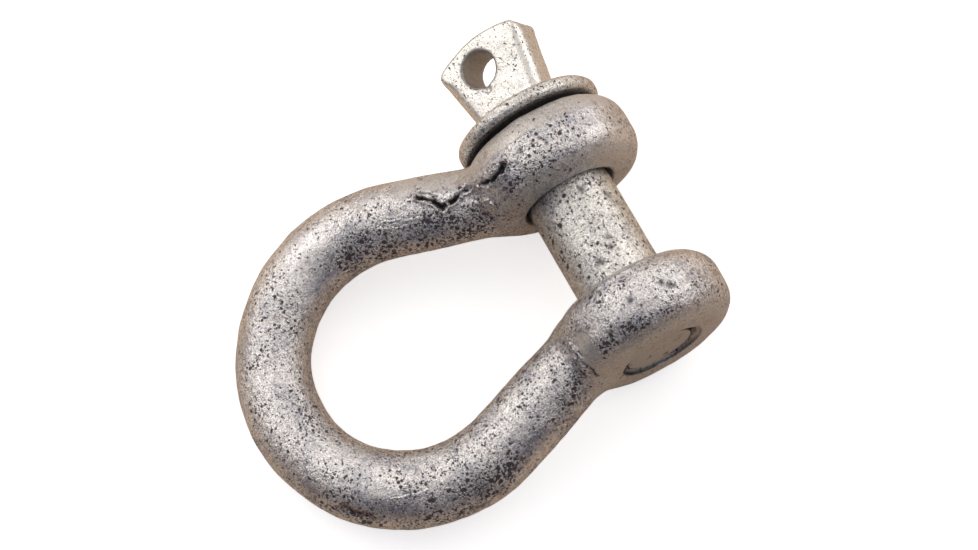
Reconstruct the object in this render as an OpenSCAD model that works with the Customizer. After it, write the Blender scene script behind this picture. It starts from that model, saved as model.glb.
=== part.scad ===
// Screw-pin bow shackle, nominal size 5/8 in (16 mm), hot-dip galvanised.
// X runs along the pin with its head at +X, Y runs from the pin to the crown of the bow.
// The origin is on the pin axis, midway between the two eyes.
// The shackle lies on a level surface: on the rims of its eyes and on its crown.

/* [Bow] */
// Clear gap between the two eyes
jaw_gap = 23.5; // [20:0.5:27]
// Thickness of each eye, along the pin
eye_t = 16; // [15:0.2:17]
// Outside diameter of each eye
eye_d = 38; // [36:0.5:40]
// Radius that rounds each eye's outer rim
eye_rim_r = 6.2; // [3:0.2:6.4]
// Edge break at the mouths of the eye holes
eye_break = 0.5; // [0.2:0.1:1]
// Diameter of the round bar in the crown
bar_d = 16.4; // [15:0.2:17]
// Diameter of the arm where it runs into the eye
neck_d = 15.6; // [13:0.2:16]
// Radius of the crown, to the middle of the bar
crown_r = 29.4; // [27:0.1:31]
// Distance from the pin axis to the middle of the bar at the crown
bow_reach = 76; // [72:0.1:80]
// Angle by which each arm flares outwards
flare = 19; // [16:0.5:21]

/* [Pin] */
// Diameter of the pin's plain barrel
pin_d = 19.2; // [18.6:0.1:19.4]
// Play across the diameter in the plain eye
pin_play = 1.7; // [1.2:0.1:2]
// Outside diameter of the thread
thread_d = 19; // [18:0.1:19]
// Advance of the pin in one turn
thread_pitch = 2.54; // [2:0.01:3]
// Play across the diameter at the thread's core; its crest and sides have a half of that
thread_play = 0.5; // [0.4:0.1:1]
// Depth of the pin's end below the outside of the tapped eye
end_depth = 0.7; // [0.5:0.1:2]
// Chamfer on the pin's end
end_chamfer = 0.7; // [0.5:0.1:1.4]

/* [Pin head] */
// Diameter of the collar under the head
collar_d = 33.4; // [30:0.1:36]
// Thickness of the collar
collar_t = 3.4; // [2.6:0.1:4]
// Gap between the collar and the plain eye, with the pin screwed home
collar_gap = 1; // [0.8:0.1:2]
// Width of the flat head where it leaves the collar
head_base_w = 16.5; // [13:0.5:17]
// Width that the head's sides run out to at its end
head_end_w = 24; // [20:0.5:24]
// Height of the head above the collar
head_h = 20.8; // [19:0.2:23]
// Thickness of the flat head
head_t = 9.5; // [8:0.5:11]
// Radius of the head's curved end
head_end_r = 26.6; // [22:0.2:30]
// Radius at the head's two corners
head_corner_r = 2.4; // [2:0.2:4]
// Diameter of the hole through the head
head_hole_d = 8.2; // [6:0.5:9]
// Height of that hole above the collar
head_hole_h = 13.9; // [11:0.2:15]
// Distance of that hole from the pin axis, towards the crown
head_hole_off = 1.6; // [0:0.1:2]
// Turn of the head about the pin axis, measured from the plane of the bow
head_turn = 21; // [0:1:60]

/* [Hidden] */

$fn = 96;

zinc = "silver";
pin_zinc = "gainsboro";

// A cut runs this far past the face that it opens
past = 1;

eye_r = eye_d / 2;
eye_mid = (jaw_gap + eye_t) / 2;
eye_out = jaw_gap / 2 + eye_t;
plain_hole_r = (pin_d + pin_play) / 2;

crown_y = bow_reach - crown_r;
arm_top = [crown_r * cos(flare), crown_y - crown_r * sin(flare)];
// Where an arm's middle line meets the middle plane of its eye
arm_l = (arm_top[0] - eye_mid) / sin(flare);

// An arm starts this far inside the crown, and this much under its surface
arm_lap = 1;
arm_step = 0.1;

// The bow tips forward until its crown touches the level surface that its eyes stand on
lie = asin((eye_r - bar_d / 2) / bow_reach);

shoulder_gap = 0.15;
shoulder_x = -jaw_gap / 2 + shoulder_gap;
pin_end_x = -eye_out + end_depth;
collar_x = eye_out + collar_gap;
head_x = collar_x + collar_t;
collar_rim_r = 1.4;
root_h = 2.6;
root_r1 = 11.4;
root_r2 = 7.2;

// The thread's depth, crest, foot and distance from the core's two ends, as shares of its pitch
depth_share = 0.61;
crest_share = 0.125;
foot_share = 0.8;
inset_share = 0.6;
thread_depth = depth_share * thread_pitch;
crest_w = crest_share * thread_pitch;
foot_w = foot_share * thread_pitch;
// The thread's foot is buried this deep in the core
thread_embed = 0.3;
core_r = thread_d / 2 - thread_depth;
tapped_hole_r = core_r + thread_play / 2;
groove_play = thread_play / 4;
steps_a_turn = 36;
thread_x = pin_end_x + inset_share * thread_pitch;
thread_turns = (shoulder_x - thread_x) / thread_pitch - inset_share;
thread_steps = floor(thread_turns * steps_a_turn);
// The pin's thread fades out over this many turns, down to this share of its height
fade_turns = 0.4;
fade_share = 0.05;
// The groove's first and last steps are clear of the tapped eye's two faces
groove_half = foot_w / 2 + groove_play;
groove_first = floor((-eye_out - groove_half - thread_x) / thread_pitch * steps_a_turn);
groove_last = ceil((-jaw_gap / 2 + groove_half - thread_x) / thread_pitch * steps_a_turn);

// A solid of revolution about the pin axis, turned from [radius, x] outlines
module turned() {
    rotate([0, 90, 0]) rotate_extrude() children();
}

// A cylinder along the pin axis, from x0 to x1
module along_pin(x0, x1, r, r_end) {
    translate([x0, 0, 0]) rotate([0, 90, 0]) cylinder(h = x1 - x0, r1 = r, r2 = r_end);
}

// A disc about the pin axis whose outer rim is rounded on both sides
module rounded_disc(r, t, rim) {
    turned() {
        translate([0, -t / 2]) square([r - rim, t]);
        translate([0, rim - t / 2]) square([r, t - 2 * rim]);
        for (side = [-1, 1])
            translate([r - rim, side * (t / 2 - rim)]) circle(r = rim);
    }
}

// A hole through an eye at x, with both mouths broken
module eye_hole(x, r) {
    x0 = x - eye_t / 2;
    x1 = x + eye_t / 2;
    along_pin(x0 - past, x1 + past, r, r);
    along_pin(x0 - past, x0 + eye_break, r + past + eye_break, r);
    along_pin(x1 - eye_break, x1 + past, r, r + past + eye_break);
}

// One arm, from inside the crown's end to the middle of its eye
module arm(side) {
    translate([side * arm_top[0], arm_top[1], 0])
        rotate([90, 0, -side * flare])
            translate([0, 0, -arm_lap])
                cylinder(h = arm_lap + arm_l, r1 = bar_d / 2 - arm_step, r2 = neck_d / 2);
}

module crown() {
    translate([0, crown_y, 0])
        rotate([0, 0, -flare])
            rotate_extrude(angle = 180 + 2 * flare)
                translate([crown_r, 0]) circle(d = bar_d);
}

// The groove that the pin's thread runs in, cut right through the tapped eye
module tapped_groove() {
    swept([for (i = [groove_first : groove_last]) thread_ring(i / steps_a_turn, 1, groove_play)]);
}

// The forged bow with its plain eye at +X and its tapped eye at -X
module bow() {
    color(zinc)
    difference() {
        rotate([-lie, 0, 0]) {
            crown();
            for (side = [-1, 1]) {
                arm(side);
                translate([side * eye_mid, 0, 0]) rounded_disc(eye_r, eye_t, eye_rim_r);
            }
        }
        eye_hole(eye_mid, plain_hole_r);
        eye_hole(-eye_mid, tapped_hole_r);
        tapped_groove();
    }
}

// The plain round of the pin, from its shoulder to the collar
module pin_barrel() {
    color(pin_zinc) along_pin(shoulder_x, collar_x, pin_d / 2, pin_d / 2);
}

// How much of its full height the pin's thread has, as it fades out at both ends
function thread_share(turn) =
    max(fade_share, min(1, turn / fade_turns, (thread_turns - turn) / fade_turns));

// One ring of the thread's section, grown by play on every side: foot, crest, crest, foot
function thread_ring(turn, share, play) =
    let (foot_r = core_r - thread_embed,
         crest_r = foot_r + share * (thread_embed + thread_depth) + play,
         foot_half = foot_w / 2 + play,
         crest_half = (foot_w - share * (foot_w - crest_w)) / 2 + play,
         x = thread_x + turn * thread_pitch,
         a = 360 * turn)
    [for (q = [[foot_r, -foot_half], [crest_r, -crest_half],
               [crest_r, crest_half], [foot_r, foot_half]])
        [x + q[1], -q[0] * sin(a), q[0] * cos(a)]];

// A solid swept through rings of equal length
module swept(rings) {
    n = len(rings[0]);
    last = len(rings) - 1;
    walls = [for (i = [0 : last - 1], j = [0 : n - 1])
        [i * n + j, i * n + (j + 1) % n, (i + 1) * n + (j + 1) % n, (i + 1) * n + j]];
    first_end = [for (j = [n - 1 : -1 : 0]) j];
    last_end = [for (j = [0 : n - 1]) last * n + j];
    polyhedron(points = [for (ring = rings) each ring], faces = concat(walls, [first_end, last_end]));
}

// The right-hand thread at the pin's end
module pin_thread() {
    color(pin_zinc) {
        along_pin(pin_end_x + end_chamfer, shoulder_x, core_r, core_r);
        along_pin(pin_end_x, pin_end_x + end_chamfer, core_r - end_chamfer, core_r);
        swept([for (i = [0 : thread_steps])
            thread_ring(i / steps_a_turn, thread_share(i / steps_a_turn), 0)]);
    }
}

// Centre of the head's corner radius, inside the sloping side and the curved end
side_slope = atan((head_end_w - head_base_w) / 2 / head_h);
side_start = [head_corner_r * sin(side_slope), head_base_w / 2 - head_corner_r * cos(side_slope)];
arc_centre = head_h - head_end_r;
start_off = side_start - [arc_centre, 0];
half_b = start_off * [cos(side_slope), sin(side_slope)];
part_c = start_off * start_off - pow(head_end_r - head_corner_r, 2);
side_l = sqrt(half_b * half_b - part_c) - half_b;
corner = side_start + side_l * [cos(side_slope), sin(side_slope)];
side_out = head_corner_r * [-sin(side_slope), cos(side_slope)];
arc_dir = (corner - [arc_centre, 0]) / (head_end_r - head_corner_r);
arc_out = [arc_centre, 0] + head_end_r * arc_dir;

// The head's flat outline: x above the collar, y across
module head_outline() {
    intersection() {
        translate([arc_centre, 0]) circle(r = head_end_r);
        polygon([[-collar_t / 2, -head_base_w / 2], [0, -head_base_w / 2],
                 [corner[0] + side_out[0], -corner[1] - side_out[1]], [arc_out[0], -arc_out[1]],
                 [head_h + past, -arc_out[1]], [head_h + past, arc_out[1]],
                 arc_out, corner + side_out,
                 [0, head_base_w / 2], [-collar_t / 2, head_base_w / 2]]);
    }
    for (side = [-1, 1])
        translate([corner[0], side * corner[1]]) circle(r = head_corner_r);
}

// Collar and flat head, with the hole that a bar or a mousing wire goes through
module pin_head() {
    color(pin_zinc)
    rotate([-lie - head_turn, 0, 0])
    difference() {
        union() {
            translate([collar_x + collar_t / 2, 0, 0]) rounded_disc(collar_d / 2, collar_t, collar_rim_r);
            along_pin(head_x, head_x + root_h, root_r1, root_r2);
            translate([head_x, 0, -head_t / 2]) linear_extrude(head_t) head_outline();
        }
        translate([head_x + head_hole_h, head_hole_off, -head_t / 2 - past])
            cylinder(h = head_t + 2 * past, d = head_hole_d);
    }
}

bow();
pin_barrel();
pin_head();
pin_thread();
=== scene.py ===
import math

import bmesh
import bpy
import numpy as np
from mathutils import Matrix, Vector


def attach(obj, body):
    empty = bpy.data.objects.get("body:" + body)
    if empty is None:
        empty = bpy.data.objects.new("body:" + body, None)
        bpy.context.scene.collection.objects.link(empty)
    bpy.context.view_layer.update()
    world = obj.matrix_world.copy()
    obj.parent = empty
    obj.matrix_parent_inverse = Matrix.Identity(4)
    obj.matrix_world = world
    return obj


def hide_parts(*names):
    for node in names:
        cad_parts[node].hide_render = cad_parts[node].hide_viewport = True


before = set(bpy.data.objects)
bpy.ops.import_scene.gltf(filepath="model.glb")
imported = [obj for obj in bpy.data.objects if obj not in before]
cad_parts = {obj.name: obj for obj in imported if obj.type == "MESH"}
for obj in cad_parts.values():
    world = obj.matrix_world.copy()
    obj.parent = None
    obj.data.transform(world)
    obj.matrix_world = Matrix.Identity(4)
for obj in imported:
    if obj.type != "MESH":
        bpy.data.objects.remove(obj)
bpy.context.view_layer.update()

MM = 0.001

# Sizes in mm, as in the CAD: X along the pin, Y to the crown, Z up, origin on the pin axis.
EYE_MID, EYE_T, EYE_R, EYE_RIM = 19.75, 16.0, 19.0, 6.2
EYE_OUT = EYE_MID + EYE_T / 2
BAR_R, NECK_R, CROWN_R, CROWN_Y = 8.2, 7.8, 29.4, 46.6
FLARE = math.radians(19)
LIE = math.asin((EYE_R - BAR_R) / (CROWN_Y + CROWN_R))
ARM_TOP = (CROWN_R * math.cos(FLARE), CROWN_Y - CROWN_R * math.sin(FLARE))
ARM_L = (ARM_TOP[0] - EYE_MID) / math.sin(FLARE)
PLAIN_HOLE_R = 10.45
PIN_R = 9.6
SHOULDER_X, PIN_END_X, COLLAR_X = -11.6, -27.05, 28.75
COLLAR_R, COLLAR_T, COLLAR_RIM = 16.7, 3.4, 1.4
HEAD_X = COLLAR_X + COLLAR_T
HEAD_H, HEAD_T, HEAD_BASE_W, HEAD_END_W, HEAD_END_R = 20.8, 9.5, 16.5, 24.0, 26.6
HEAD_EDGE, END_EDGE, HEAD_CORNER = 2.8, 0.9, 2.4
HOLE_R, HOLE_H, HOLE_OFF = 4.1, 13.9, 1.6
HEAD_TILT = LIE + math.radians(21)
PITCH, THREAD_R = 2.54, 9.5
CORE_R = THREAD_R - 0.61 * PITCH
THREAD_X = PIN_END_X + 0.6 * PITCH
THREAD_TURNS = (SHOULDER_X - THREAD_X) / PITCH - 0.6
CREST_HALF, FOOT_HALF = PITCH / 16, 0.4 * PITCH
# The thread's height grows over FADE turns at each end, and its groove in the eye is cut GROOVE_PLAY wider.
FADE, RUN_OUT, GROOVE_PLAY = 0.5, 0.4, 0.13
CHAMFER, OVERLAP = 0.7, 0.3
ARM_FILLET, NECK_FILLET, BARREL_FILLET, HOLE_EDGE, GROOVE_EDGE, SHOULDER_EDGE = 2.6, 4.2, 1.4, 0.5, 0.12, 0.5
# A burr pit in the head's face, from the hole's centre
BURR_DOWN, BURR_SIDE, BURR_R = 4.9, 0.6, 0.9
# The shapes' distances are scaled down where a cone or a flank would make them too steep.
FLANK_SCALE, CONE_SCALE = 0.75, 0.7
FAR = 99.0
FLOOR_Z = -19.0


# ---- Distances to the surfaces, in mm; negative inside ----

def turned(p, angle):
    """The points in a frame that is tipped forward about X by the angle."""
    c, s = math.cos(angle), math.sin(angle)
    return np.stack([p[:, 0], p[:, 1] * c - p[:, 2] * s, p[:, 1] * s + p[:, 2] * c], 1)


def rounded_pair(a, b, r):
    """The inside of both a and b, with the edge where they meet rounded to radius r."""
    a, b = a + r, b + r
    return np.minimum(np.maximum(a, b), 0) + np.hypot(np.maximum(a, 0), np.maximum(b, 0)) - r


def merged(a, b, k):
    """Both solids, with a soft fillet of size k where they meet."""
    h = np.maximum(k - np.abs(a - b), 0) / k
    return np.minimum(a, b) - h * h * k / 4


def cut(a, b, k):
    """The solid a less the hole b, with a soft edge of size k."""
    return -merged(-a, b, k)


def thread_r(p, share, play):
    """The thread's radius at each point, for a right-hand screw of the given height."""
    turn = np.arctan2(-p[:, 1], p[:, 2]) / (2 * np.pi)
    phase = (p[:, 0] - THREAD_X) / PITCH - turn
    across = np.abs(phase - np.round(phase)) * PITCH
    rise = np.clip((FOOT_HALF + play - across) / (FOOT_HALF - CREST_HALF), 0, 1)
    return CORE_R + play + (THREAD_R - CORE_R) * rise * share


def bow_shape(p):
    q = turned(p, LIE)
    x, y, z = np.abs(q[:, 0]), q[:, 1], q[:, 2]
    in_arc = np.arctan2(y - CROWN_Y, x) > -FLARE
    ring = np.hypot(np.hypot(x, y - CROWN_Y) - CROWN_R, z) - BAR_R
    along = np.clip(-(x - ARM_TOP[0]) * math.sin(FLARE) - (y - ARM_TOP[1]) * math.cos(FLARE), 0, ARM_L)
    dx = x - ARM_TOP[0] + along * math.sin(FLARE)
    dy = y - ARM_TOP[1] + along * math.cos(FLARE)
    arm = np.sqrt(dx * dx + dy * dy + z * z) - BAR_R + (BAR_R - NECK_R) * along / ARM_L
    bar = np.where(in_arc, np.minimum(ring, arm), arm)
    radius = np.hypot(y, z)
    eye = rounded_pair(np.abs(x - EYE_MID) - EYE_T / 2, radius - EYE_R, EYE_RIM)
    body = merged(bar, eye, ARM_FILLET)
    plain = np.where(q[:, 0] > 0, radius - PLAIN_HOLE_R, FAR)
    tapped = np.where(q[:, 0] < 0, (radius - thread_r(p, 1.0, GROOVE_PLAY)) * FLANK_SCALE, FAR)
    side = np.abs(x - EYE_MID) - EYE_T / 2
    mouth = np.where(q[:, 0] < 0, radius - CORE_R - CHAMFER - side, FAR) * CONE_SCALE
    return cut(cut(body, np.minimum(plain, mouth), HOLE_EDGE), tapped, GROOVE_EDGE)


def head_shape(p):
    q = turned(p, HEAD_TILT)
    x, y, z = q[:, 0] - HEAD_X, q[:, 1], q[:, 2]
    radius = np.hypot(y, z)
    collar = rounded_pair(np.abs(x + COLLAR_T / 2) - COLLAR_T / 2, radius - COLLAR_R, COLLAR_RIM)
    slope = math.atan((HEAD_END_W - HEAD_BASE_W) / 2 / HEAD_H)
    side = (np.abs(y) - HEAD_BASE_W / 2) * math.cos(slope) - x * math.sin(slope)
    end = np.hypot(x - HEAD_H + HEAD_END_R, y) - HEAD_END_R
    outline = np.maximum(rounded_pair(side, end, HEAD_CORNER), -x - COLLAR_T / 2)
    edge = HEAD_EDGE + (END_EDGE - HEAD_EDGE) * soft_step(end - side, -3.0, 0.5)
    plate = rounded_pair(outline, np.abs(z) - HEAD_T / 2, edge)
    hole = np.hypot(x - HOLE_H, y - HOLE_OFF) - HOLE_R
    burr = np.sqrt((x - HOLE_H + BURR_DOWN) ** 2 + (y - HOLE_OFF - BURR_SIDE) ** 2 + (z - HEAD_T / 2) ** 2)
    head = cut(cut(merged(plate, collar, NECK_FILLET), hole, HOLE_EDGE), burr - BURR_R, HOLE_EDGE)
    barrel = rounded_pair(radius - PIN_R, SHOULDER_X - p[:, 0], SHOULDER_EDGE)
    barrel = np.maximum(barrel, p[:, 0] - HEAD_X)
    return merged(head, barrel, BARREL_FILLET)


def thread_shape(p):
    radius = np.hypot(p[:, 1], p[:, 2])
    turn = (p[:, 0] - THREAD_X) / PITCH
    share = np.clip(np.minimum(turn + FADE, THREAD_TURNS + RUN_OUT - turn) / FADE, 0, 1)
    side = (radius - thread_r(p, share, 0.0)) * FLANK_SCALE
    end = PIN_END_X - p[:, 0]
    chamfer = (radius - CORE_R + CHAMFER - (p[:, 0] - PIN_END_X)) * CONE_SCALE
    return np.maximum(np.maximum(side, end), np.maximum(chamfer, p[:, 0] - SHOULDER_X - OVERLAP))


# ---- Meshes from distances ----

LEAST_SLOPE, MOST_MOVE = 0.05, 0.4


def steps(stops):
    """Grid positions through (position, step after it) stops."""
    out = [stops[0][0]]
    for (x0, step), (x1, _) in zip(stops, stops[1:]):
        n = max(1, round((x1 - x0) / step))
        out += list(x0 + (x1 - x0) * np.arange(1, n + 1) / n)
    return np.array(out)


def surface_net(shape, axes):
    """The surface shape = 0 on a grid, as points and four-sided faces."""
    ny, nz = len(axes[1]), len(axes[2])
    yz = np.stack(np.meshgrid(axes[1], axes[2], indexing="ij"), -1).reshape(-1, 2)
    value = np.empty((len(axes[0]), ny, nz))
    for i, x in enumerate(axes[0]):
        value[i] = shape(np.column_stack([np.full(len(yz), x), yz])).reshape(ny, nz)
    inside = value < 0
    cells = tuple(n - 1 for n in value.shape)
    size = int(np.prod(cells))
    total, count, faces = np.zeros((size, 3)), np.zeros(size), []
    for a in range(3):
        b, c = (a + 1) % 3, (a + 2) % 3
        low = [slice(None)] * 3
        high = list(low)
        low[a], high[a] = slice(0, -1), slice(1, None)
        at = np.argwhere(inside[tuple(low)] != inside[tuple(high)])
        far = at.copy()
        far[:, a] += 1
        v0, v1 = value[tuple(at.T)], value[tuple(far.T)]
        point = np.stack([axes[k][at[:, k]] for k in range(3)], 1)
        point[:, a] += v0 / (v0 - v1) * (axes[a][far[:, a]] - axes[a][at[:, a]])
        ring = []
        for db, dc in ((0, 0), (-1, 0), (-1, -1), (0, -1)):
            cell = at.copy()
            cell[:, b] += db
            cell[:, c] += dc
            flat = np.ravel_multi_index(tuple(cell.T), cells)
            for k in range(3):
                total[:, k] += np.bincount(flat, point[:, k], size)
            count += np.bincount(flat, minlength=size)
            ring.append(flat)
        quad = np.stack(ring, 1)
        quad[v0 > 0] = quad[v0 > 0][:, ::-1]
        faces.append(quad)
    used = np.flatnonzero(count)
    new = np.full(size, -1)
    new[used] = np.arange(len(used))
    return total[used] / count[used, None], new[np.concatenate(faces)]


def slope_of(shape, p, h=0.02):
    """The gradient of shape at each point."""
    out = np.empty_like(p)
    for k in range(3):
        d = np.zeros(3)
        d[k] = h
        out[:, k] = (shape(p + d) - shape(p - d)) / (2 * h)
    return out


def onto(shape, p, rounds=3):
    """The points moved onto the surface."""
    for _ in range(rounds):
        g = slope_of(shape, p)
        move = np.clip(shape(p) / np.maximum((g * g).sum(1), LEAST_SLOPE), -MOST_MOVE, MOST_MOVE)
        p = p - g * move[:, None]
    return p


def relaxed(shape, p, faces, rounds=2):
    """The points evened out along the surface."""
    a = faces.ravel()
    b = np.roll(faces, -1, axis=1).ravel()
    ends = np.concatenate([a, b]), np.concatenate([b, a])
    count = np.bincount(ends[0], minlength=len(p))
    for _ in range(rounds):
        mean = np.stack([np.bincount(ends[0], p[ends[1], k], len(p)) for k in range(3)], 1)
        p = onto(shape, p * 0.5 + mean / count[:, None] * 0.5, 1)
    return p


# ---- Fixed noise, the same on every run ----

HASH_BY_AXIS, HASH_SEED, HASH_MIX = (374761393, 668265263, 2147483647), 974634777, 1274126177
HASH_MASK, HASH_HALF = 0xFFFFFF, 0x7FFFFF


def lattice(cell, seed):
    """One number from -1 to 1 for each lattice cell."""
    h = sum(cell[:, k] * HASH_BY_AXIS[k] for k in range(3)) + seed * HASH_SEED
    h = (h ^ (h >> 13)) * HASH_MIX
    h = (h ^ (h >> 16)) & HASH_MASK
    return h / HASH_HALF - 1.0


def noise(p, size, seed):
    """Smooth noise with features of the given size, from -1 to 1."""
    q = p / size
    base = np.floor(q).astype(np.int64)
    f = q - base
    f = f * f * (3 - 2 * f)
    out = np.zeros(len(p))
    for corner in range(8):
        bit = np.array([corner & 1, corner >> 1 & 1, corner >> 2])
        weight = np.where(bit, f, 1 - f).prod(1)
        out += weight * lattice(base + bit, seed)
    return out


def soft_step(x, low, high):
    t = np.clip((x - low) / (high - low), 0, 1)
    return t * t * (3 - 2 * t)


# ---- Marks of forging and dipping on the bow, in the bow's own plane ----

# Each is a line's points, its half width, its depth (negative for a ridge), the lip along its lower side,
# and how far the fold above it stands out.
MARKS = (
    (((27.3, 28.5, 7.7), (25.6, 27.6, 8.0), (24.1, 25.9, 8.0), (22.6, 25.2, 7.9), (21.6, 24.3, 7.8),
      (21.5, 22.9, 7.8), (21.4, 21.5, 7.9), (22.0, 19.2, 8.0), (21.3, 16.5, 9.6)), 0.46, 0.85, 0.40, 0.34),
    (((27.2, 28.3, 7.7), (26.1, 25.7, 7.8), (23.9, 24.3, 8.0), (22.0, 24.1, 7.9)), 0.26, 0.30, 0.12, 0.0),
    (((20.1, 14.9, 11.8), (18.9, 12.6, 14.2), (18.9, 9.8, 16.3), (19.4, 7.8, 17.3)), 0.62, 0.85, 0.50, 0.20),
    (((18.3, 17.1, 8.8), (16.4, 15.2, 11.1), (14.5, 14.3, 10.8), (13.5, 14.9, 8.5), (13.3, 15.9, 6.3)),
     0.50, -0.35, 0.0, -0.20),
    (((25.5, 39.1, 7.7), (25.5, 36.6, 7.9), (23.8, 33.0, 7.7)), 0.24, 0.08, 0.08, 0.0),
    (((25.0, 38.9, 7.5), (23.4, 35.4, 7.3), (22.1, 31.6, 7.2)), 0.24, 0.08, 0.07, 0.0),
    (((24.2, 34.0, 7.6), (22.9, 30.6, 7.5), (22.3, 28.2, 7.4)), 0.24, 0.08, 0.10, 0.0),
    (((-27.8, 62.9, 7.7), (-28.9, 59.4, 7.9), (-29.7, 55.5, 8.0)), 0.24, 0.22, 0.14, 0.0),
    (((-23.2, 72.8, 6.0), (-25.8, 71.5, 5.1), (-28.2, 68.9, 5.0)), 0.60, 0.25, 0.10, 0.0),
    (((-6.9, 74.8, 8.2), (-9.8, 74.8, 8.2), (-13.7, 75.5, 7.8)), 0.22, 0.26, 0.14, 0.0),
    (((-17.9, 15.2, 11.4), (-22.7, 15.4, 11.0), (-25.4, 15.0, 9.2), (-27.2, 14.9, 6.1)),
     0.50, -0.40, 0.0, 0.0),
    (((-18.6, 14.0, 12.2), (-23.0, 14.2, 11.8), (-25.9, 13.8, 9.8), (-27.6, 13.6, 6.6)),
     0.40, 0.40, 0.0, 0.0),
    (((-14.0, 5.0, 16.8), (-13.8, 2.3, 17.3), (-13.8, -1.7, 17.4), (-13.4, -4.6, 16.3), (-13.2, -7.3, 15.1)),
     0.45, -0.28, 0.0, 0.0),
    (((19.8, 6.5, 17.9), (19.7, 2.0, 18.9), (19.5, -1.6, 18.9), (19.9, -5.5, 18.2), (19.9, -9.9, 16.2)),
     0.55, -0.12, 0.0, 0.0),
)
# Patches of smooth patina away from the eyes' sides: centre and size
PATINA = (
    ((27.5, 24.0, 5.5), 4.5), ((26.5, 19.5, 7.0), 4.5), ((26.5, 15.0, 9.5), 4.0), ((29.5, 30.0, 5.0), 5.0),
    ((-24.0, 12.5, 13.0), 3.4), ((-26.5, 12.0, 9.0), 3.4), ((-21.0, 12.5, 14.0), 3.0),
)
# Large pits, each a centre and radius: on the bow in its own plane, and on the pin in its head's
BOW_PITS = (
    ((-19.5, -6.9, 17.7), 0.60), ((-20.7, -8.4, 17.0), 0.60), ((-21.4, -8.9, 16.8), 0.50),
    ((-22.6, -13.0, 13.8), 0.50), ((-23.5, 7.0, 17.3), 0.60), ((-20.0, 0.1, 19.0), 0.65),
    ((19.5, -0.7, 19.0), 0.50), ((18.1, -1.4, 19.0), 0.50), ((19.6, 4.1, 18.6), 0.60),
)
PIN_PITS = (
    ((5.7, -9.0, 3.4), 0.80), ((9.1, -5.8, 7.6), 0.65), ((6.2, 4.8, 8.3), 0.70), ((-5.2, -5.2, 8.1), 0.60),
    ((-3.0, -5.6, 7.8), 0.55), ((-7.1, -2.0, 9.4), 0.80),
)
# A rusted patch at the crown
RUST = ((-23.2, 72.8, 6.0), (-25.8, 71.5, 5.1), (-28.2, 68.9, 5.0))
# Which way is down across the marks, and which way the side turned from the light faces: extra dark specks
# there are painted shade
DOWN = (-0.83, 0.40, -0.32)
SHADED_SIDE_WAY = (-0.743, 0.349, 0.572)
# A mark's edges wander by BEND mm, its lip stands LIP_AT half widths out, and its depth sets the shade
# painted dark into its groove.
BEND, BEND_SIZE, BEND_FINE, LIP_AT, LIP_WIDTH, FOLD_WIDTH = 0.30, 1.3, 0.55, 2.0, 0.8, 3.0
DARK_GAIN, DARK_FROM = 3.0, 0.35
MARK_REACH, PIT_REACH, PIT_BEND, PIT_BEND_SIZE = 3.4, 1.6, 0.42, 0.6


def to_line(p, line):
    """Each point's distance to a line of points, signed distance below it, and share of the way along it."""
    best = np.full(len(p), 1e9)
    below, share = np.zeros(len(p)), np.zeros(len(p))
    line = np.array(line)
    for i, (a, b) in enumerate(zip(line, line[1:])):
        t = np.clip((p - a) @ (b - a) / ((b - a) @ (b - a)), 0, 1)
        off = p - a - t[:, None] * (b - a)
        d = np.linalg.norm(off, axis=1)
        near = d < best
        best[near] = d[near]
        below[near] = (off @ np.array(DOWN))[near]
        share[near] = (i + t[near]) / (len(line) - 1)
    return best, below, share


def near_marks(q):
    """Which points lie near a mark or a large pit of the bow."""
    lines = [to_line(q, line)[0] - MARK_REACH * half for line, half, *_ in MARKS]
    pits = [np.linalg.norm(q - centre, axis=1) - PIT_REACH for centre, _ in BOW_PITS]
    return np.min(lines + pits, axis=0) < 0


def pits_at(q, pits):
    """How far each point lies in a pit, from 0 to 1."""
    bent = q + PIT_BEND * np.stack([noise(q, PIT_BEND_SIZE, k) for k in (41, 42, 43)], 1)
    return np.max([np.exp(-(np.linalg.norm(bent - centre, axis=1) / r) ** 2) for centre, r in pits], axis=0)


def marks_on(q):
    """How far the marks push the surface out at each point, and how much shade is painted dark into their
    grooves.
    """
    out, dark = np.zeros(len(q)), np.zeros(len(q))
    ragged = 1 + 0.6 * noise(q, 0.8, 11)
    wander = [noise(q, BEND_SIZE, k) + 0.6 * noise(q, BEND_FINE, k + 9) for k in (12, 13, 14)]
    bent = q + BEND * np.stack(wander, 1)
    for line, half, depth, lip, fold in MARKS:
        d, below, share = to_line(bent, line)
        taper = np.clip(np.minimum(share, 1 - share) * 5 + 0.25, 0, 1)
        half = half * (0.5 + 0.5 * taper) * (1 + 0.35 * noise(q, 1.9, 15))
        dip = np.exp(-(d / half) ** 2) * taper
        under = soft_step(below, -0.3 * half, 0.8 * half)
        ridge = np.exp(-((d - LIP_AT * half) / (LIP_WIDTH * half)) ** 2) * under
        out += lip * ragged * ridge - depth * ragged * dip
        out += fold * np.exp(-(d / FOLD_WIDTH) ** 2) * (1 - under)
        # Painted shade: the deeper grooves are painted dark
        if depth > 0:
            dark = np.maximum(dark, np.clip(dip * DARK_GAIN * depth * ragged - DARK_FROM, 0, 1))
    return out, dark


# ---- Blender objects ----

def refined(p, faces, near, cuts):
    """The mesh with every edge near the marks cut in half, the given number of times."""
    mesh = bpy.data.meshes.new("refined")
    mesh.from_pydata(p, [], faces.tolist())
    bm = bmesh.new()
    bm.from_mesh(mesh)
    for _ in range(cuts):
        close = near(np.array([v.co for v in bm.verts]))
        edges = [e for e in bm.edges if close[e.verts[0].index] and close[e.verts[1].index]]
        bmesh.ops.subdivide_edges(bm, edges=edges, cuts=1, use_grid_fill=True)
        bm.verts.index_update()
    bm.to_mesh(mesh)
    bm.free()
    return mesh


def points_of(mesh):
    co = np.empty(len(mesh.vertices) * 3, np.float32)
    mesh.vertices.foreach_get("co", co)
    return co.reshape(-1, 3).astype(float)


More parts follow.
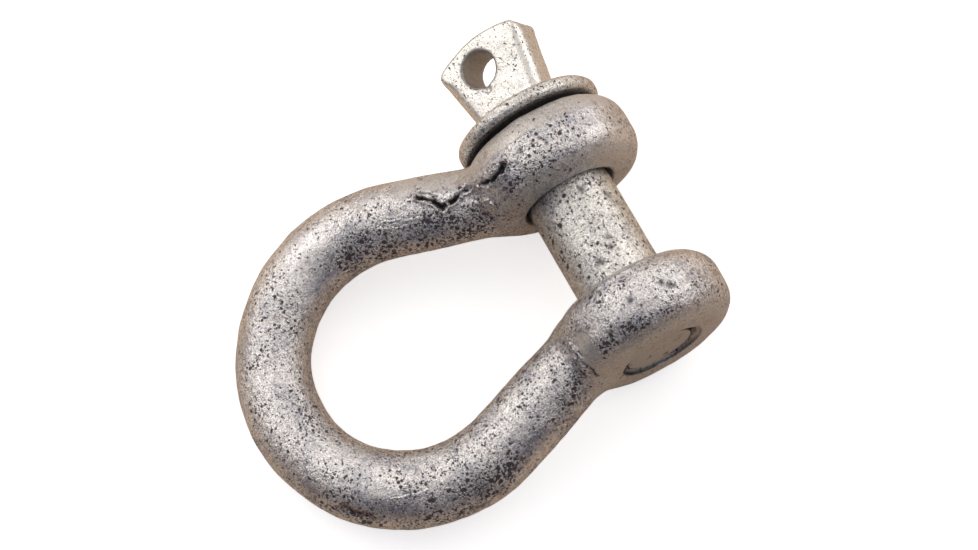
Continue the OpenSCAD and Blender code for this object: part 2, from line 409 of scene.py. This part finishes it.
def as_object(name, mesh, p, material, **layers):
    """A shaded object of the mesh with these points in mm, and with each layer as a value at its points."""
    mesh.vertices.foreach_set("co", (p * MM).astype(np.float32).ravel())
    mesh.polygons.foreach_set("use_smooth", np.ones(len(mesh.polygons), bool))
    mesh.update()
    mesh.validate()
    for key, value in layers.items():
        mesh.attributes.new(key, "FLOAT", "POINT").data.foreach_set("value", value.astype(np.float32))
    mesh.name = name
    mesh.materials.append(material)
    obj = bpy.data.objects.new(name, mesh)
    bpy.context.scene.collection.objects.link(obj)
    return obj


def plain_mesh(p, faces):
    mesh = bpy.data.meshes.new("plain")
    mesh.from_pydata(p, [], faces.tolist())
    return mesh


def pushed(shape, p, by):
    """The points pushed out along the surface's normals."""
    g = slope_of(shape, p)
    return p + g / np.linalg.norm(g, axis=1)[:, None] * by[:, None]


# ---- Materials ----

class Nodes:
    """Short calls for making a node tree."""

    def __init__(self, tree):
        self.tree = tree
        tree.nodes.clear()

    def add(self, kind, out=0, settings=None, **inputs):
        node = self.tree.nodes.new(kind)
        for key, value in (settings or {}).items():
            setattr(node, key, value)
        for key, value in inputs.items():
            name = int(key[1:]) if key[0] == "i" and key[1:].isdigit() else key.replace("_", " ")
            socket = node.inputs[name]
            if isinstance(value, bpy.types.NodeSocket):
                self.tree.links.new(value, socket)
            else:
                socket.default_value = value
        return node.outputs[out] if out is not None else node

    def math(self, operation, *values):
        return self.add("ShaderNodeMath", settings={"operation": operation},
                        **{f"i{n}": v for n, v in enumerate(values)})

    def ramp(self, value, low, high, to_low=0.0, to_high=1.0):
        return self.add("ShaderNodeMapRange", settings={"interpolation_type": "SMOOTHSTEP"},
                        i0=value, i1=low, i2=high, i3=to_low, i4=to_high)

    def mix(self, share, a, b, blend="MIX"):
        return self.add("ShaderNodeMix", out=2, settings={"data_type": "RGBA", "blend_type": blend},
                        i0=share, i6=a, i7=b)

    def dot(self, a, b):
        return self.add("ShaderNodeVectorMath", out=1, settings={"operation": "DOT_PRODUCT"}, i0=a, i1=b)

    def stored(self, name):
        return self.add("ShaderNodeAttribute", out=2, settings={"attribute_name": name})

    def noise(self, vector, scale, detail=2.0, rough=0.5, distort=0.0):
        return self.add("ShaderNodeTexNoise", Vector=vector, Scale=scale, Detail=detail, Roughness=rough,
                        Distortion=distort)


def colour(r, g, b):
    return (r, g, b, 1.0)


PATINA_TAN, RUST_BROWN = colour(0.66, 0.615, 0.57), colour(0.20, 0.105, 0.075)
# PIT_DARK colours pits; the near black after it is painted shade for gaps, holes and creases, and also
# darkens the large pits
PIT_DARK, SHADE_AND_PIT_BLACK = colour(0.040, 0.026, 0.036), colour(0.010, 0.009, 0.011)
METALLIC = 0.92


def zinc(name, cream, grey, pit_share, rough, rust, relief, cell_scale):
    """Weathered hot-dip zinc: pitted where its coating is rubbed bright, matt under its patina, with shade
    painted dark into its gaps.

    The mesh stores patina, calm (fewer pits, less relief), painted shade on the side turned from the light
    (more pits), rust, and painted shade in gaps, holes and creases with the dark of large pits, at its
    points.
    """
    material = bpy.data.materials.new(name)
    material.use_nodes = True
    n = Nodes(material.node_tree)
    place = n.add("ShaderNodeTexCoord", out=3)
    at = n.add("ShaderNodeVectorMath", settings={"operation": "SCALE"}, i0=place, Scale=1 / MM)
    wobble = n.add("ShaderNodeTexNoise", out=1, Vector=at, Scale=2.2, Detail=2.0)
    bent = n.add("ShaderNodeVectorMath", settings={"operation": "MULTIPLY_ADD"}, i0=wobble,
                 i1=(0.5, 0.5, 0.5), i2=at)
    patina, grime, calm, wear, rusted = (n.stored(key) for key in ("patina", "grime", "calm", "wear", "rust"))

    # Patterns, with their scales per mm, and where they apply
    cloud = n.noise(at, 0.12, 3.0, 0.6)
    mottle = n.noise(at, 0.75, 5.0, 0.75, 0.3)
    speckle = n.noise(bent, 1.6, 3.0, 0.62)
    grain = n.noise(at, 2.6, 2.0, 0.6)
    patch = n.noise(at, 0.19, 3.0, 0.6)
    where = n.math("SUBTRACT", n.ramp(patch, 0.30, 0.72, 0.05, 0.85), n.math("MULTIPLY", calm, 0.7))
    # More pits on the side turned from the light: painted shade
    where = n.math("ADD", where, n.math("MULTIPLY", wear, 0.5))
    ragged = n.math("MULTIPLY", n.math("SUBTRACT", mottle, 0.5), 1.6)
    patina = n.ramp(n.math("ADD", patina, ragged), 0.25, 0.75)
    bare = n.math("SUBTRACT", 1.0, patina)

    def dots(scale, radius, edge, share):
        """Round pits in the given share of a pattern of cells."""
        cell = n.add("ShaderNodeTexVoronoi", out=None, Vector=bent, Scale=scale)
        pick = n.add("ShaderNodeSeparateColor", Color=cell.outputs[1])
        many = n.math("ADD", n.math("MULTIPLY", where, share), n.math("MULTIPLY", bare, 0.22))
        size = n.math("MULTIPLY", n.math("SUBTRACT", many, pick), radius)
        return n.ramp(n.math("SUBTRACT", size, cell.outputs[0]), 0.0, edge)

    # Pits: large and fine round ones, and ragged specks, with extra specks on the side turned from the light
    # as painted shade
    lift = n.math("MULTIPLY_ADD", where, 0.05 * pit_share, n.math("MULTIPLY", patina, -0.05))
    lift = n.math("MULTIPLY_ADD", wear, 0.052, lift)
    worn_and_shaded_specks = n.ramp(n.math("SUBTRACT", n.math("ADD", speckle, lift), 0.604), 0.0, 0.05)
    hole = dots(cell_scale, 0.56, 0.08, 0.85 * pit_share)
    fine = dots(cell_scale * 1.8, 0.60, 0.12, 0.7 * pit_share)
    pit = n.math("MAXIMUM", hole, n.math("MAXIMUM", worn_and_shaded_specks, fine))

    # Colour: two zinc tones, patina over them, a fine grain, then rust, pits, and shade painted near black
    # into gaps, holes and creases
    tone = n.math("ADD", n.math("MULTIPLY", cloud, 0.4), n.math("MULTIPLY", mottle, 0.6))
    tone = n.math("MAXIMUM", n.ramp(tone, 0.38, 0.56), n.math("MULTIPLY", calm, 0.8))
    base = n.mix(tone, grey, cream)
    base = n.mix(n.math("MULTIPLY", patina, 0.85), base, PATINA_TAN)
    speck = n.math("ADD", n.math("MULTIPLY", n.ramp(grain, 0.32, 0.66, 0.68, 1.2), bare),
                   n.math("MULTIPLY", patina, n.ramp(grain, 0.3, 0.7, 0.74, 1.16)))
    speck = n.math("MULTIPLY_ADD", n.math("SUBTRACT", 1.0, speck), n.math("MULTIPLY", calm, 0.6), speck)
    base = n.mix(1.0, base, n.add("ShaderNodeCombineColor", Red=speck, Green=speck, Blue=speck), "MULTIPLY")
    stain = n.math("MULTIPLY", n.ramp(n.noise(at, 0.33, 4.0, 0.7), 0.56, 0.70), rust)
    stain = n.math("MAXIMUM", stain, n.math("MULTIPLY", rusted, n.ramp(grain, 0.36, 0.52)))
    base = n.mix(stain, base, RUST_BROWN)
    base = n.mix(n.math("MULTIPLY", pit, 0.94), base, PIT_DARK)
    # Painted shade: near black in gaps, holes and creases, and in the large pits
    base = n.mix(grime, base, SHADE_AND_PIT_BLACK)

    # Relief: less of it under patina and on calm zinc
    height = n.math("ADD", n.math("MULTIPLY", mottle, 0.50), n.math("MULTIPLY", grain, 0.34))
    height = n.math("MULTIPLY", height, n.ramp(n.math("MAXIMUM", patina, calm), 0.0, 1.0, 1.0, 0.45))
    height = n.math("SUBTRACT", height, n.math("MULTIPLY", pit, 0.25))
    normal = n.add("ShaderNodeBump", Strength=1.0, Distance=relief * MM, Height=height)

    # Pits, patina and the painted shade are duller and less metallic.
    dull = n.math("MAXIMUM", n.math("MULTIPLY", pit, 0.7), n.math("MULTIPLY", patina, 0.4))
    dull = n.math("MAXIMUM", dull, grime)
    shader = n.add("ShaderNodeBsdfPrincipled", out=None, Base_Color=base, Normal=normal,
                   Metallic=n.math("SUBTRACT", METALLIC, n.math("MULTIPLY", dull, 0.9)),
                   Roughness=n.math("ADD", n.ramp(mottle, 0.35, 0.65, rough - 0.08, rough + 0.08),
                                    n.math("MULTIPLY", dull, 0.35)))
    n.add("ShaderNodeOutputMaterial", out=None, Surface=shader.outputs[0])
    return material


# ---- Camera, light and floor ----

LENS, SENSOR = 78.14, 36.0
CAMERA_AT = (-132.37, 62.75, 424.84)
CAMERA_RIGHT = (-0.46714, -0.88149, -0.06894)
CAMERA_BACK = (-0.30583, 0.08793, 0.94802)
# Each lamp: its name, its direction along the camera's right, up and back, and its power in W
LAMPS = (("softbox_left", -0.75, 0.50, 0.42, 1.05), ("softbox_right", 0.62, 0.62, 0.48, 0.95))
LAMP_SIZE, LAMP_DISTANCE, LAMP_COLOUR = 0.45, 0.75, (1.0, 0.97, 0.93)
SKY_DARK, SKY_LIGHT = colour(0.036, 0.046, 0.088), colour(0.74, 0.71, 0.70)
# The table that the zinc reflects is tan, with a shadow painted dark towards one side
TABLE_PAINTED_SHADOW, TABLE_LIGHT = colour(0.085, 0.065, 0.055), colour(0.74, 0.59, 0.455)
# What the camera itself sees of them
SKY_SEEN, TABLE_SEEN = colour(0.93, 0.93, 0.93), colour(0.9, 0.9, 0.9)
TABLE_SHADOW_WAY, TABLE_HALF, TABLE_GLOW = (0.87, -0.49, 0.0), 3.0, 0.62


def make_camera():
    data = bpy.data.cameras.new("camera")
    data.lens, data.sensor_width = LENS, SENSOR
    data.clip_start, data.clip_end = 0.01, 20.0
    camera = bpy.data.objects.new("camera", data)
    right, back = Vector(CAMERA_RIGHT), Vector(CAMERA_BACK).normalized()
    right = (right - back * right.dot(back)).normalized()
    up = back.cross(right)
    turn = Matrix((right, up, back)).transposed().to_4x4()
    camera.matrix_world = Matrix.Translation(Vector(CAMERA_AT) * MM) @ turn
    bpy.context.scene.collection.objects.link(camera)
    bpy.context.scene.camera = camera
    return right, up, back


def make_light(right, up, back):
    """Two soft lamps, and a room that is light above the object, dark below it, and pale to the camera."""
    world = bpy.data.worlds.new("studio")
    world.use_nodes = True
    bpy.context.scene.world = world
    n = Nodes(world.node_tree)
    way = n.add("ShaderNodeTexCoord", out=0)
    to_light = (up * 0.93 + back * 0.30 - right * 0.10).normalized()
    sky = n.mix(n.ramp(n.dot(way, to_light), -0.14, 0.30), SKY_DARK, SKY_LIGHT)
    seen = n.add("ShaderNodeLightPath", out=0)
    background = n.add("ShaderNodeBackground", Color=n.mix(seen, sky, SKY_SEEN), Strength=1.0)
    n.add("ShaderNodeOutputWorld", out=None, Surface=background)

    for name, x, y, z, energy in LAMPS:
        data = bpy.data.lights.new(name, "AREA")
        data.shape, data.size, data.size_y = "RECTANGLE", LAMP_SIZE, LAMP_SIZE
        data.energy, data.color = energy, LAMP_COLOUR
        lamp = bpy.data.objects.new(name, data)
        way = (right * x + up * y + back * z).normalized()
        turn = way.to_track_quat("Z", "Y").to_matrix().to_4x4()
        lamp.matrix_world = Matrix.Translation(way * LAMP_DISTANCE) @ turn
        bpy.context.scene.collection.objects.link(lamp)


def make_floor():
    """A floor that the camera sees white, and that the zinc reflects as a tan table with a shadow painted
    dark at one side.
    """
    material = bpy.data.materials.new("floor")
    material.use_nodes = True
    n = Nodes(material.node_tree)
    seen = n.add("ShaderNodeLightPath", out=0)
    place = n.add("ShaderNodeNewGeometry", out=0)
    along = n.dot(place, TABLE_SHADOW_WAY)
    # Painted shadow: the table darkens past a line on one side
    tan = n.mix(n.ramp(along, -0.18, -0.05), TABLE_PAINTED_SHADOW, TABLE_LIGHT)
    paper = n.add("ShaderNodeBsdfDiffuse", Color=n.mix(seen, tan, TABLE_SEEN))
    glow = n.add("ShaderNodeEmission", Color=colour(1, 1, 1), Strength=n.math("MULTIPLY", seen, TABLE_GLOW))
    n.add("ShaderNodeOutputMaterial", out=None, Surface=n.add("ShaderNodeAddShader", i0=paper, i1=glow))
    mesh = bpy.data.meshes.new("floor")
    half, z = TABLE_HALF, FLOOR_Z * MM
    corners = [(-half, -half, z), (half, -half, z), (half, half, z), (-half, half, z)]
    mesh.from_pydata(corners, [], [(0, 1, 2, 3)])
    mesh.materials.append(material)
    floor = bpy.data.objects.new("floor", mesh)
    bpy.context.scene.collection.objects.link(floor)


# ---- The three pieces ----

BOW_STEP, GROOVE_STEP, PIN_STEP, THREAD_STEP = 0.63, 0.36, 0.4, 0.24
# Radii from the pin's axis where each eye's hole starts to get painted shade and where it is fully shaded
PLAIN_HOLE_SHADE, TAPPED_HOLE_SHADE = (11.0, 10.6), (9.1, 8.85)


def deepest(*layers):
    """The largest of the layers at each point."""
    return np.max(layers, axis=0)


def make_bow(material):
    axes = [steps([(-39, BOW_STEP), (-28.4, GROOVE_STEP), (-11.2, BOW_STEP), (39, 0)]),
            steps([(-20, BOW_STEP), (85, 0)]), steps([(-20.2, BOW_STEP), (20.2, 0)])]
    points, faces = surface_net(bow_shape, axes)
    points = relaxed(bow_shape, onto(bow_shape, points), faces)
    mesh = refined(points, faces, lambda p: near_marks(turned(p, LIE)), 2)
    points = onto(bow_shape, points_of(mesh))
    q = turned(points, LIE)
    x, from_pin = points[:, 0], np.hypot(points[:, 1], points[:, 2])
    head_side, end_side = q[:, 0] > 0, q[:, 0] < 0

    # Patina on the eyes' outer sides and, weaker, in the jaw, and in patches on the arms
    at_eye = soft_step(q[:, 1], 19.0, 15.5)
    outside = deepest(soft_step(q[:, 0], 20.6, 23.6), 0.8 * soft_step(q[:, 0], -24.6, -27.2))
    in_jaw = deepest(soft_step(q[:, 0], 15.2, 13.0) * head_side, soft_step(q[:, 0], -14.6, -12.9) * end_side)
    patina = deepest(at_eye * outside, at_eye * 0.6 * in_jaw)
    for centre, size in PATINA:
        patina = deepest(patina, soft_step(np.linalg.norm(q - centre, axis=1), size, size * 0.45))

    # Painted shade under the collar and in the holes, and most in the tapped eye's mouth
    in_gap = soft_step(x, EYE_OUT - 1.0, EYE_OUT - 0.6) * soft_step(from_pin, 16.7, 15.7)
    limits = [np.where(x > 0, plain, tapped) for plain, tapped in zip(PLAIN_HOLE_SHADE, TAPPED_HOLE_SHADE)]
    in_hole = soft_step(from_pin, *limits)
    in_hole *= np.where(x > 0, 0.65, 0.45 + 0.55 * soft_step(x, -26.2, -27.0))

    push, crease_shade = marks_on(q)
    pitted = pits_at(q, BOW_PITS)
    rusted = soft_step(noise(points, 0.9, 33) + 1.3 - to_line(q, RUST)[0] / 1.5, 0.3, 1.0)
    # Painted shade: extra dark specks on the bare side turned from the light
    slope = slope_of(bow_shape, points)
    facing = slope @ np.array(SHADED_SIDE_WAY) / np.linalg.norm(slope, axis=1)
    worn_and_shaded_specks = soft_step(facing, 0.76, 0.95) * (1 - patina) * (0.8 + 0.5 * noise(points, 5.0, 31))
    calm = 0.6 * soft_step(noise(points, 11.0, 7), 0.0, 0.5)

    # Lumps of the forging, marks and pits, all clear of the holes
    lumps = 0.15 * noise(points, 9.0, 1) + 0.10 * noise(points, 4.0, 2) + 0.05 * noise(points, 1.7, 3)
    by = (lumps + push - 0.35 * pitted) * soft_step(from_pin, 10.8, 12.6)
    # Painted shade in the gap, the holes and the marks' grooves, with the large pits' dark
    return as_object("bow_forging", mesh, pushed(bow_shape, points, by), material,
                     patina=patina, calm=calm, wear=worn_and_shaded_specks, rust=rusted * 0.9,
                     grime=deepest(in_gap * 0.9, in_hole, crease_shade, pitted * 0.8))


def make_pin(material):
    across = steps([(-17.6, PIN_STEP), (17.6, 0)])
    points, faces = surface_net(head_shape, [steps([(-12.2, PIN_STEP), (54, 0)]), across, across])
    points = relaxed(head_shape, onto(head_shape, points), faces)
    x, radius = points[:, 0], np.hypot(points[:, 1], points[:, 2])
    q = turned(points, HEAD_TILT)

    # Painted shade under the collar and on the wall of the head's hole, a dark ring painted around the hole's
    # rim, and the large pits' dark
    in_gap = soft_step(x, COLLAR_X + 0.45, COLLAR_X + 0.15) * soft_step(x, 26.5, 27.6)
    on_plate = q[:, 0] > HEAD_X
    from_hole = np.hypot(q[:, 0] - HEAD_X - HOLE_H, q[:, 1] - HOLE_OFF) - HOLE_R
    on_wall = soft_step(from_hole, 0.5, 0.15) * on_plate
    at_rim = np.exp(-((from_hole - 0.30) / 0.22) ** 2) * on_plate * (0.75 + 0.5 * noise(points, 1.6, 21))
    collar_rim = soft_step(radius, COLLAR_R - 1.6, COLLAR_R - 0.3)
    pitted = pits_at(q, PIN_PITS)
    under_collar = in_gap * soft_step(radius, 15.6, 14.2)
    grime = deepest(under_collar * 0.85, on_wall * 0.35, at_rim * 0.75, pitted * 0.85)

    lumps = 0.10 * noise(points, 6.0, 5) + 0.05 * noise(points, 2.2, 6)
    by = lumps * (soft_step(x, COLLAR_X + 1, HEAD_X + 1) * 0.75 + 0.25) - 0.30 * pitted
    return as_object("pin_forging", plain_mesh(points, faces), pushed(head_shape, points, by), material,
                     patina=deepest(collar_rim * 0.3, on_wall), calm=0.9 * soft_step(x, HEAD_X, HEAD_X + 1.5),
                     grime=grime)


def make_thread(material):
    across = steps([(-10, THREAD_STEP), (10, 0)])
    points, faces = surface_net(thread_shape, [steps([(-27.2, THREAD_STEP), (-10.9, 0)]), across, across])
    points = relaxed(thread_shape, onto(thread_shape, points), faces)
    from_end, radius = points[:, 0] - PIN_END_X, np.hypot(points[:, 1], points[:, 2])
    flat = soft_step(from_end, 1.4, 0.2)
    # Painted shade on the end's chamfer in the gap to the eye, and in the thread's roots
    on_chamfer = soft_step(from_end, 0.05, 0.2) * soft_step(from_end, 1.8, 0.9)
    in_root = soft_step(radius, THREAD_R - 0.3, CORE_R + 0.1) * (1 - soft_step(from_end, 1.0, 0.5))
    return as_object("pin_thread_end", plain_mesh(points, faces), points, material,
                     patina=flat, calm=flat, grime=deepest(on_chamfer, in_root * 0.5))


# ---- Making it all ----

camera_axes = make_camera()
make_light(*camera_axes)
make_floor()
bpy.context.scene.view_settings.view_transform = "Standard"

bow_zinc = zinc("bow_zinc", cream=colour(0.91, 0.87, 0.845), grey=colour(0.48, 0.48, 0.52),
                pit_share=1.0, rough=0.25, rust=0.4, relief=0.50, cell_scale=0.9)
pin_zinc = zinc("pin_zinc", cream=colour(0.93, 0.90, 0.84), grey=colour(0.62, 0.61, 0.61),
                pit_share=0.95, rough=0.28, rust=0.2, relief=0.40, cell_scale=0.62)
thread_zinc = zinc("thread_zinc", cream=colour(0.60, 0.56, 0.49), grey=colour(0.42, 0.40, 0.37),
                   pit_share=0.8, rough=0.42, rust=0.8, relief=0.30, cell_scale=0.85)

bow = make_bow(bow_zinc)
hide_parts("bow")
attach(bow, "bow")

pin = make_pin(pin_zinc)
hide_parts("pin_barrel", "pin_head")
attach(pin, "pin")

thread = make_thread(thread_zinc)
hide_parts("pin_thread")
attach(thread, "pin")
